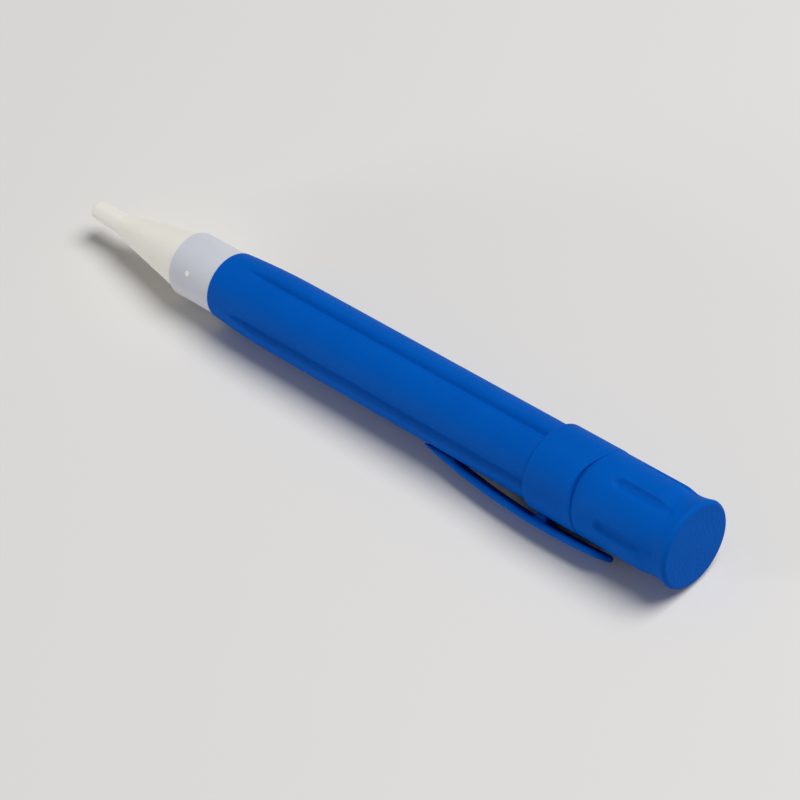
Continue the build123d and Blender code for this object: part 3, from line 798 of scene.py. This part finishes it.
@dataclass(frozen=True)
class Barrel(Moulding):
    """The fluted tube: a soft taper at the front that the flutes run out on, ribs under the flutes,
    and a neck with a groove for the seal."""

    node: ClassVar[str] = "barrel"

    rim_radius: float = 6.85
    rim_round: float = 0.3
    taper_length: float = 18.0
    taper_steps: int = 24
    flute_half_width: float = 1.4
    flute_depth: float = 1.0
    flute_bottom: float = 0.22
    flute_blend: float = 0.08
    flute_start: float = 4.0
    flute_ramp: float = 9.0
    flute_window: float = 14.0
    fine_turn: float = 1.0
    coarse_turn: float = 5.0
    panel_wall: float = 1.2
    rib_width: float = 2.4
    neck_edge: float = 0.3
    seal_air: float = 0.05
    seal_depth: float = 0.55
    strip_angle: float = LAYOUT.clip_angle - 180.0
    strip_slot_width: float = 3.2
    strip_slot_radius: float = 5.75

    def fluted(self, x: float, radius: float, angle: float) -> float:
        """Lowers a place on the outside where a flute passes it.

        Args:
            x: Place along the axis.
            radius: Distance from the axis without flutes.
            angle: Angle about the axis.

        Returns:
            Distance from the axis with them.
        """
        share = (x - LAYOUT.barrel_front_x - self.flute_start) / self.flute_ramp
        depth = self.flute_depth * (1 - (1 - min(max(share, 0.0), 1.0)) ** 2)
        slope = self.flute_depth / self.flute_half_width
        across = LAYOUT.barrel_radius * radians(nearest_turn(angle, LAYOUT.flute_angles))
        wall = slope * (hypot(across, self.flute_bottom) - self.flute_bottom)
        return soft_min(radius, LAYOUT.barrel_radius - depth + wall, self.flute_blend)

    def lobe(self, angle: float) -> float:
        """Gives the inside radius between the ribs, or on one of them."""
        on_rib = across_from(angle, LAYOUT.flute_angles, LAYOUT.bore) < self.rib_width / 2
        return LAYOUT.bore if on_rib else LAYOUT.barrel_radius - self.panel_wall

    def neck_bore(self, angle: float) -> float:
        """Gives the neck's inside radius, which is larger in the slot for the return strip."""
        in_slot = across_from(angle, [self.strip_angle], LAYOUT.bore) < self.strip_slot_width / 2
        return self.strip_slot_radius if in_slot else LAYOUT.bore

    def outside(self, angle: float) -> list[Point]:
        """Gives the outline of the outside at an angle, from the rim to the neck.

        Args:
            angle: Angle about the axis.

        Returns:
            The outline's points, of which the first is on the rim's bore.
        """
        front_x, taper_x = LAYOUT.barrel_front_x, LAYOUT.barrel_front_x + self.taper_length
        bore, *points = round_corners(
            [
                (front_x, LAYOUT.rim_bore, 0.0),
                (front_x, self.rim_radius, self.rim_round),
                (taper_x, self.rim_radius, 0.0),
            ]
        )[:-1]
        drop = LAYOUT.barrel_radius - self.rim_radius
        for step in range(1, self.taper_steps + 1):
            share = step / self.taper_steps
            x = front_x + self.rim_round + (self.taper_length - self.rim_round) * share
            points.append((x, LAYOUT.barrel_radius - drop * (1 - share) ** 2))
        points.append((LAYOUT.neck_start_x, LAYOUT.barrel_radius))
        return [bore] + [(x, self.fluted(x, r, angle)) for x, r in points]

    def outline(self, angle: float) -> list[Point]:
        """Gives the barrel's outline at an angle.

        Args:
            angle: Angle about the axis.

        Returns:
            The outline's points.
        """
        seal_front, seal_rear = reach("cap_seal", X)
        groove_front, groove_rear = seal_front - self.seal_air, seal_rear + self.seal_air
        groove_floor = LAYOUT.neck_radius - self.seal_depth
        lobe, neck_bore = self.lobe(angle), self.neck_bore(angle)
        return self.outside(angle) + round_corners(
            [
                (LAYOUT.neck_start_x, LAYOUT.neck_radius, 0.0),
                (groove_front, LAYOUT.neck_radius, 0.0),
                (groove_front, groove_floor, 0.0),
                (groove_rear, groove_floor, 0.0),
                (groove_rear, LAYOUT.neck_radius, 0.0),
                (LAYOUT.neck_end_x, LAYOUT.neck_radius, self.neck_edge),
                (LAYOUT.neck_end_x, neck_bore, 0.0),
                (LAYOUT.ring_front_x, neck_bore, 0.0),
                (LAYOUT.ring_front_x, lobe, 0.0),
                (LAYOUT.plug_end_x, lobe, 0.0),
                (LAYOUT.plug_end_x, LAYOUT.rim_bore, 0.0),
            ]
        )

    def shells(self) -> list[Shell]:
        """Works out the barrel."""
        turns = column_angles(self.coarse_turn, self.fine_turn, LAYOUT.flute_angles, self.flute_window)
        return [turned_shell(self.outline, turns)]


@dataclass(frozen=True)
class PartingLine:
    """The curved joint between the ring and the cap: a round tongue of the cap on either panel."""

    tongue_length: float = 1.4
    tongue_half_width: float = 6.3
    gap: float = 0.03
    blend: float = 0.3

    def place(self, angle: float, radius: float, gap: float = 0.0) -> float:
        """Gives the joint's place along the axis.

        Args:
            angle: Angle about the axis.
            radius: Distance from the axis.
            gap: Room left in front of the tongue.

        Returns:
            The place along the axis.
        """
        curve = (self.tongue_half_width**2 + self.tongue_length**2) / (2 * self.tongue_length)
        centre_x = LAYOUT.cap_front_x - self.tongue_length + curve
        across = radius * sin(radians(turn_from(angle, LAYOUT.panel_angle)))
        tongue_x = centre_x - sqrt((curve + gap) ** 2 - across**2)
        return soft_min(LAYOUT.cap_front_x, tongue_x, self.blend)


PARTING = PartingLine()


@dataclass(frozen=True)
class ClipRing(Moulding):
    """The collar that carries the clip, with a key under it in each of the barrel's flutes."""

    node: ClassVar[str] = "clip_ring"

    front_round: float = 0.7
    rear_round: float = 0.3
    key_setback: float = 1.5
    key_width: float = 1.6
    key_root: float = 7.31
    fine_turn: float = 1.0
    coarse_turn: float = 3.0
    key_window: float = 8.0

    def key(self, angle: float) -> float:
        """Gives the inside radius over the barrel, which is smaller on a key."""
        on_key = across_from(angle, LAYOUT.flute_angles, LAYOUT.barrel_radius) < self.key_width / 2
        return self.key_root if on_key else LAYOUT.barrel_radius + LAYOUT.fit

    def outline(self, angle: float) -> list[Point]:
        """Gives the ring's outline at an angle.

        Args:
            angle: Angle about the axis.

        Returns:
            The outline's points.
        """
        front_x, key_x = LAYOUT.ring_front_x, LAYOUT.ring_front_x + self.key_setback
        seat, neck_seat = LAYOUT.barrel_radius + LAYOUT.fit, LAYOUT.neck_radius + LAYOUT.fit
        rear_x = PARTING.place(angle, LAYOUT.ring_radius, PARTING.gap)
        key = self.key(angle)
        return round_corners(
            [
                (front_x, seat, 0.0),
                (front_x, LAYOUT.ring_radius, self.front_round),
                (rear_x, LAYOUT.ring_radius, self.rear_round),
                (PARTING.place(angle, neck_seat, PARTING.gap), neck_seat, 0.0),
                (LAYOUT.neck_start_x, neck_seat, 0.0),
                (LAYOUT.neck_start_x, key, 0.0),
                (key_x, key, 0.0),
                (key_x, seat, 0.0),
            ]
        )

    def shells(self) -> list[Shell]:
        """Works out the ring."""
        turns = column_angles(self.coarse_turn, self.fine_turn, LAYOUT.flute_angles, self.key_window)
        return [turned_shell(self.outline, turns)]


@dataclass(frozen=True)
class PocketClip(Moulding):
    """The bowed lever: a leaf with rounded edges that narrows to a thin tip on the barrel, and a stem
    that grows out of its underside."""

    node: ClassVar[str] = "pocket_clip"
    body: ClassVar[Body] = Body.CLIP

    tip_x: float = reach("pocket_clip", X)[0]
    rear_x: float = reach("pocket_clip", X)[1]
    width: float = 6.0
    tip_width: float = 3.8
    edge: float = 0.5
    thickness: float = 1.3
    tip_thickness: float = 0.14
    tip_flat: float = 8.0
    tip_air: float = 0.1
    rear_thickness: float = 1.15
    rear_gap: float = 0.43
    stem_setback: float = 3.8
    stem_height: float = 0.95
    stem_length: float = 2.0
    stem_width: float = 4.0
    stem_air: float = 0.08
    stem_fillet: float = 0.35
    end_rows: int = 10
    row_length: float = 1.2
    stem_row_length: float = 0.15
    columns: int = 40

    @property
    def stem_x(self) -> float:
        """Place of the stem's middle along the axis."""
        return LAYOUT.ring_front_x + self.stem_setback

    @property
    def tip_round(self) -> float:
        """Radius of the leaf's end on the barrel, seen from above."""
        return self.tip_width / 2

    @property
    def rear_round(self) -> float:
        """Radius of the leaf's end over the cap, seen from above."""
        return self.width / 2

    @property
    def crest(self) -> float:
        """Greatest distance of the leaf's top from the axis."""
        return LAYOUT.ring_radius + self.stem_height + self.thickness

    @property
    def seat(self) -> float:
        """Radius that the tip's underside follows, just clear of the barrel."""
        return LAYOUT.barrel_radius + self.tip_air

    @staticmethod
    def bow(way: float, length: float, drop: float) -> float:
        """Gives how far an arc has dropped below its crest.

        Args:
            way: Distance from the crest along the axis.
            length: Distance at which the arc ends.
            drop: Drop at that end.

        Returns:
            The drop at the distance.
        """
        radius = (length**2 + drop**2) / (2 * drop)
        return radius - sqrt(radius**2 - way**2)

    def top(self, x: float) -> float:
        """Gives the height of the leaf's top over the pen's axis.

        Args:
            x: Place along the axis.

        Returns:
            The height, measured along the clip's own radius.
        """
        way = x - self.stem_x
        if way < 0:
            return self.crest - self.bow(
                way, self.stem_x - self.tip_x, self.crest - self.seat - self.tip_thickness
            )
        rear_top = LAYOUT.ring_radius + self.rear_gap + self.rear_thickness
        return self.crest - self.bow(way, self.rear_x - self.stem_x, self.crest - rear_top)

    def under(self, x: float, across: float) -> float:
        """Gives the height of the leaf's underside, with the stem that stands out of it.

        Args:
            x: Place along the axis.
            across: Distance from the clip's middle line.

        Returns:
            The height, measured along the clip's own radius.
        """
        way = x - self.stem_x
        crest = self.crest - self.thickness
        seat = sqrt(self.seat**2 - across**2)
        arc_length = self.stem_x - self.tip_x - self.tip_flat
        if way < -arc_length:
            height = seat
        elif way < 0:
            height = max(seat, crest - self.bow(way, arc_length, crest - self.seat))
        else:
            rear_drop = crest - LAYOUT.ring_radius - self.rear_gap
            height = crest - self.bow(way, self.rear_x - self.stem_x, rear_drop)
        beside = max(abs(way) - self.stem_length / 2, abs(across) - self.stem_width / 2, 0.0)
        share = max(1 - beside / self.stem_fillet, 0.0)
        foot = sqrt((LAYOUT.ring_radius + self.stem_air) ** 2 - across**2)
        return height + (min(foot, height) - height) * ease(share)

    def half_width(self, x: float) -> float:
        """Gives half the leaf's width with square ends."""
        share = min((x - self.tip_x) / (self.stem_x - self.tip_x), 1.0)
        return (self.tip_width + (self.width - self.tip_width) * share) / 2

    def end_way(self, x: float) -> tuple[float, float]:
        """Gives the distance to the nearer end, and the radius of that end's corners."""
        return min((x - self.tip_x, self.tip_round), (self.rear_x - x, self.rear_round))

    def margin(self, x: float, across: float) -> float:
        """Gives the distance from a place on the leaf to its rounded outline.

        Args:
            x: Place along the axis.
            across: Distance from the clip's middle line.

        Returns:
            The distance to the outline, which is zero on it.
        """
        end, corner = self.end_way(x)
        side = self.half_width(x) - abs(across)
        if end < corner and side < corner:
            return max(corner - hypot(corner - end, corner - side), 0.0)
        return max(min(end, side), 0.0)

    def rows(self) -> list[float]:
        """Spreads the leaf's rows along the axis, close together at its ends and at the stem.

        Returns:
            The rows' places.
        """
        swing = [pi / 2 * k / self.end_rows for k in range(self.end_rows + 1)]
        rows = [self.tip_x + self.tip_round * (1 - cos(turn)) for turn in swing]
        rear = [self.rear_x - self.rear_round * (1 - cos(turn)) for turn in swing]
        stem_half = self.stem_length / 2 + self.stem_fillet
        while rows[-1] < rear[-1] - self.row_length:
            at_stem = abs(rows[-1] + self.stem_row_length - self.stem_x) < stem_half + self.row_length
            rows.append(rows[-1] + (self.stem_row_length if at_stem else self.row_length))
        return rows + rear[::-1]

    def row_points(self, x: float) -> list[Vector]:
        """Gives the points of one row across the leaf, with the top and the underside in turn.

        Args:
            x: Place of the row along the axis.

        Returns:
            The points, from one edge to the other.
        """
        turn = radians(LAYOUT.clip_angle)
        out, beside = Vector((0.0, cos(turn), sin(turn))), Vector((0.0, -sin(turn), cos(turn)))
        end, corner = self.end_way(x)
        inset = corner - sqrt(max(corner**2 - max(corner - end, 0.0) ** 2, 0.0))
        half = self.half_width(x) - inset
        points: list[Vector] = []
        for k in range(self.columns + 1):
            across = -half * cos(pi * k / self.columns)
            top, under = self.top(x), self.under(x, across)
            middle = (top + under) / 2
            share = max(1 - self.margin(x, across) / self.edge, 0.0)
            swell = sqrt(1 - share**2)
            for height in (top, under):
                place = out * (middle + (height - middle) * swell) + beside * across
                points.append(place + Vector((x, 0.0, 0.0)))
        return points

    def shells(self) -> list[Shell]:
        """Works out the leaf with its stem.

        Returns:
            Points and faces of the one shell.
        """
        rows = self.rows()
        points = [point for x in rows for point in self.row_points(x)]
        stride = 2 * (self.columns + 1)
        faces: list[tuple[int, ...]] = []
        for row in range(len(rows) - 1):
            start = row * stride
            # All but the row's last two points, which lie on its far edge
            for first in range(start, start + stride - 2):
                faces.append((first, first + 2, first + stride + 2, first + stride))
        return [(points, faces)]


@dataclass(frozen=True)
class EndCap(Moulding):
    """The pull-off cap: six short flutes with round ends, a thumb scoop in either tongue, a waist and
    a flared flat end with a soft rim."""

    node: ClassVar[str] = "end_cap"
    body: ClassVar[Body] = Body.CAP

    cap_drop: float = 0.1
    waist_drop: float = 0.4
    waist_length: float = 3.0
    flare_length: float = 3.5
    rim_round: float = 0.8
    front_round: float = 0.04
    flute_count: int = 6
    flute_turn: float = 4.0
    flute_radius: float = 1.6
    flute_depth: float = 0.7
    flute_setback: float = 4.6
    flute_end: float = 2.2
    flute_blend: float = 0.16
    flute_window: float = 11.0
    scoop_depth: float = 0.75
    scoop_half_angle: float = 60.0
    scoop_length: float = 4.4
    scoop_blend: float = 0.2
    end_wall: float = 2.4
    floor_round: float = 0.4
    scoop_rows: int = 12
    row_length: float = 0.35
    fine_turn: float = 1.0
    coarse_turn: float = 3.0

    @property
    def radius(self) -> float:
        """Radius of the cap behind the ring."""
        return LAYOUT.ring_radius - self.cap_drop

    @property
    def flute_angles(self) -> list[float]:
        """Angles of the cap's flutes."""
        start = LAYOUT.panel_angle + self.flute_turn + 180.0 / self.flute_count
        return [start + 360.0 * k / self.flute_count for k in range(self.flute_count)]

    def plain(self, x: float) -> float:
        """Gives the outside radius without flutes and scoops.

        Args:
            x: Place along the axis.

        Returns:
            The distance from the axis.
        """
        waist = self.radius - self.waist_drop
        waist_x = -self.rim_round - self.flare_length
        if x > waist_x:
            return waist + (LAYOUT.flange_radius - waist) * ((x - waist_x) / self.flare_length) ** 2
        share = max(1 + (x - waist_x) / self.waist_length, 0.0)
        return self.radius - self.waist_drop * ease(share)

    def scoop(self, x: float, angle: float) -> float:
        """Gives how far out the thumb scoop's floor lies.

        Args:
            x: Place along the axis.
            angle: Angle about the axis.

        Returns:
            The distance from the axis, infinite behind the scoop.
        """
        share = (x - LAYOUT.cap_front_x + PARTING.tongue_length) / self.scoop_length
        if share >= 1:
            return inf
        turn = turn_from(angle, LAYOUT.panel_angle)
        turn = min(abs(turn), 180.0 - abs(turn))
        offset = self.scoop_depth / (1 - cos(radians(self.scoop_half_angle)))
        radius = self.radius - self.scoop_depth * (1 - share) ** 2 + offset
        return sqrt(radius**2 - (offset * sin(radians(turn))) ** 2) - offset * cos(radians(turn))

    def outside(self, x: float, angle: float) -> float:
        """Gives the outside radius with flutes and scoops.

        Args:
            x: Place along the axis.
            angle: Angle about the axis.

        Returns:
            The distance from the axis.
        """
        radius = soft_min(self.plain(x), self.scoop(x, angle), self.scoop_blend)
        centre = self.radius - self.flute_depth + self.flute_radius
        front_x = LAYOUT.cap_front_x + self.flute_setback + self.flute_radius
        rear_x = -self.flute_end - self.flute_radius
        beyond = max(front_x - x, x - rear_x, 0.0)
        if beyond < self.flute_radius:
            ball = sqrt(self.flute_radius**2 - beyond**2)
            for flute in self.flute_angles:
                floor = groove(turn_from(angle, flute), centre, ball)
                radius = soft_min(radius, floor, self.flute_blend)
        return radius

    def outline(self, angle: float) -> list[Point]:
        """Gives the cap's outline at an angle.

        Args:
            angle: Angle about the axis.

        Returns:
            The outline's points.
        """
        bore = LAYOUT.neck_radius + LAYOUT.slide
        front_x = PARTING.place(angle, self.radius)
        scoop_end_x = LAYOUT.cap_front_x - PARTING.tongue_length + self.scoop_length
        edge_x = front_x + self.front_round
        front = round_corners(
            [
                (PARTING.place(angle, bore), bore, 0.0),
                (front_x, self.outside(front_x, angle), self.front_round),
                (scoop_end_x, self.outside(front_x, angle), 0.0),
            ]
        )[:-1]
        scoop_way, flare_way = scoop_end_x - edge_x, -self.rim_round - scoop_end_x
        rows = [edge_x + scoop_way * k / self.scoop_rows for k in range(1, self.scoop_rows)]
        count = round(flare_way / self.row_length)
        rows += [scoop_end_x + flare_way * k / count for k in range(count)]
        side = [(x, self.outside(x, angle)) for x in rows]
        end = round_corners(
            [
                (-self.rim_round, LAYOUT.flange_radius, 0.0),
                (0.0, LAYOUT.flange_radius, self.rim_round),
                (0.0, 0.0, 0.0),
                (-self.end_wall, 0.0, 0.0),
                (-self.end_wall, bore, self.floor_round),
                (LAYOUT.cap_front_x, bore, 0.0),
            ]
        )[:-1]
        return front + side + end

    def shells(self) -> list[Shell]:
        """Works out the cap."""
        turns = column_angles(self.coarse_turn, self.fine_turn, self.flute_angles, self.flute_window)
        return [turned_shell(self.outline, turns)]


@dataclass(frozen=True)
class FittedParts:
    """Inner parts that keep their CAD shape and only get a finish."""

    finishes: ClassVar[dict[Finish, tuple[str, ...]]]

    def dress(self) -> None:
        """Gives every node of the group its finish."""
        for finish, nodes in self.finishes.items():
            for name in nodes:
                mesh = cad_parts[name].data
                mesh.materials.clear()
                mesh.materials.append(finish.material())
                log.info("%s: %s", name, finish.name)


@dataclass(frozen=True)
class PowerTrain(FittedParts):
    """The two cells with their contacts, the spring, the return strip and the cap's seal."""

    finishes: ClassVar[dict[Finish, tuple[str, ...]]] = {
        CELL_CAN: ("front_cell", "rear_cell"),
        NICKEL_STEEL: ("front_contact", "side_strip", "rear_contact", "rear_spring"),
        BLACK_RUBBER: ("cap_seal",),
    }


@dataclass(frozen=True)
class DetectorBoard(FittedParts):
    """The board with the sensor, the lamp and their small parts, and the carrier that holds it."""

    finishes: ClassVar[dict[Finish, tuple[str, ...]]] = {
        GREEN_MASK: ("circuit_board",),
        BLACK_EPOXY: ("field_sensor", "detector_chip", "lamp_transistor"),
        TAN_CERAMIC: ("chip_resistors", "chip_capacitors"),
        RED_LENS: ("indicator_lamp",),
        TINNED_WIRE: ("lamp_leads", "chip_legs"),
        BLACK_NYLON: ("board_carrier",),
    }


def resting_places(places: Iterable[Point], weight_x: float) -> tuple[Point, Point]:
    """Finds the two places that carry a lying thing: the side of its lower hull under its weight.

    Args:
        places: Places along the axis and heights of the thing's points.
        weight_x: Place of its weight along the axis.

    Returns:
        The carrying places in front of the weight and behind it.
    """
    hull: list[Point] = []
    for x, z in sorted(places):
        while len(hull) > 1:
            (x0, z0), (x1, z1) = hull[-2:]
            if (x1 - x0) * (z - z0) > (z1 - z0) * (x - x0):
                break
            hull.pop()
        hull.append((x, z))
    behind = next(k for k, (x, z) in enumerate(hull) if x > weight_x)
    return hull[behind - 1], hull[behind]


@dataclass(frozen=True)
class Table:
    """The pale table top that the pen lies on, touching it at two places along its length."""

    front: Point
    rear: Point
    size: float = 6000.0
    finish: Finish = PALE_BOARD

    def build(self) -> bpy.types.Object:
        """Lays the table.

        Returns:
            The table's plane.
        """
        slope = atan2(self.rear[1] - self.front[1], self.rear[0] - self.front[0])
        mesh = bpy.data.meshes.new("table")
        half = self.size / 2 * MM
        corners = [(-half, -half, 0), (half, -half, 0), (half, half, 0), (-half, half, 0)]
        mesh.from_pydata(corners, [], [(0, 1, 2, 3)])
        table = add_object("table", mesh)
        place = Matrix.Translation((self.rear[0] * MM, 0, self.rear[1] * MM))
        table.matrix_world = place @ Matrix.Rotation(-slope, 4, "Y")
        mesh.materials.append(self.finish.material())
        return table


@dataclass(frozen=True)
class Lamp:
    """One round soft lamp, aimed at the middle of the pen.

    The direction points from the pen to the lamp, and the level is the share of a white card's
    brightness that the lamp gives a surface square to it.
    """

    name: str
    direction: tuple[float, float, float]
    level: float
    width_m: float
    distance_m: float

    def build(self) -> bpy.types.Object:
        """Hangs the lamp.

        Returns:
            The lamp.
        """
        light = bpy.data.lights.new(self.name, "AREA")
        light.shape = "DISK"
        light.size = self.width_m
        light.energy = self.level * pi**2 * self.distance_m**2
        lamp = add_object(self.name, light)
        back = Vector(self.direction).normalized()
        middle = Vector((LAYOUT.middle_x * MM, 0.0, 0.0))
        lamp.matrix_world = facing_from(middle + back * self.distance_m, back)
        return lamp


@dataclass(frozen=True)
class Studio:
    """Plain soft light: a wide lamp overhead and a little behind the pen, a small low one in front of
    its tip and an even, weak surround."""

    key: Lamp = Lamp("key_lamp", (0.39, 0.315, 0.865), level=0.95, width_m=1.3, distance_m=2.0)
    fill: Lamp = Lamp("fill_lamp", (-0.6, -0.79, 0.13), level=0.33, width_m=0.5, distance_m=3.0)
    surround: str = "#FBFCFF"
    surround_strength: float = 0.15

    def build(self) -> None:
        """Hangs the lamps and lights the surround."""
        self.key.build()
        self.fill.build()
        world = bpy.data.worlds.new("surround")
        world.use_nodes = True
        surround = world.node_tree.nodes["Background"]
        surround.inputs["Color"].default_value = linear(self.surround)
        surround.inputs["Strength"].default_value = self.surround_strength
        bpy.context.scene.world = world


@dataclass(frozen=True)
class PhotoCamera:
    """The camera at the photograph's viewing angle, for a square picture."""

    azimuth: float = 53.22
    elevation: float = 44.05
    roll: float = 13.3
    distance: float = 516.3
    target: tuple[float, float, float] = (-69.2, -2.24, -2.56)
    lens: float = 126.0
    sensor: float = 36.0

    def build(self) -> bpy.types.Object:
        """Sets the camera up.

        Returns:
            The camera.
        """
        azimuth, elevation = radians(self.azimuth), radians(self.elevation)
        back = Vector((sin(azimuth) * cos(elevation), -cos(azimuth) * cos(elevation), sin(elevation)))
        data = bpy.data.cameras.new("photo_camera")
        data.lens = self.lens
        data.sensor_width = self.sensor
        camera = add_object("photo_camera", data)
        place = (Vector(self.target) + back * self.distance) * MM
        roll = Matrix.Rotation(radians(-self.roll), 4, "Z")
        camera.matrix_world = facing_from(place, back) @ roll
        bpy.context.scene.camera = camera
        return camera


def main() -> None:
    """Builds the pieces in order, then the table, the light and the camera."""
    logging.basicConfig(level=logging.INFO, format="%(name)s: %(message)s")
    bpy.context.scene.view_settings.view_transform = "Standard"
    mouldings = (SensingTip(), NoseSleeve(), Barrel(), ClipRing(), PocketClip(), EndCap())
    pieces = [moulding.build() for moulding in mouldings]
    for group in (PowerTrain(), DetectorBoard()):
        group.dress()
    corners = (corner.co / MM for piece in pieces for corner in piece.data.vertices)
    front, rear = resting_places(((corner.x, corner.z) for corner in corners), LAYOUT.middle_x)
    log.info("table under %.1f and %.1f mm", front[0], rear[0])
    Table(front, rear).build()
    Studio().build()
    PhotoCamera().build()


if __name__ == "__main__":
    main()
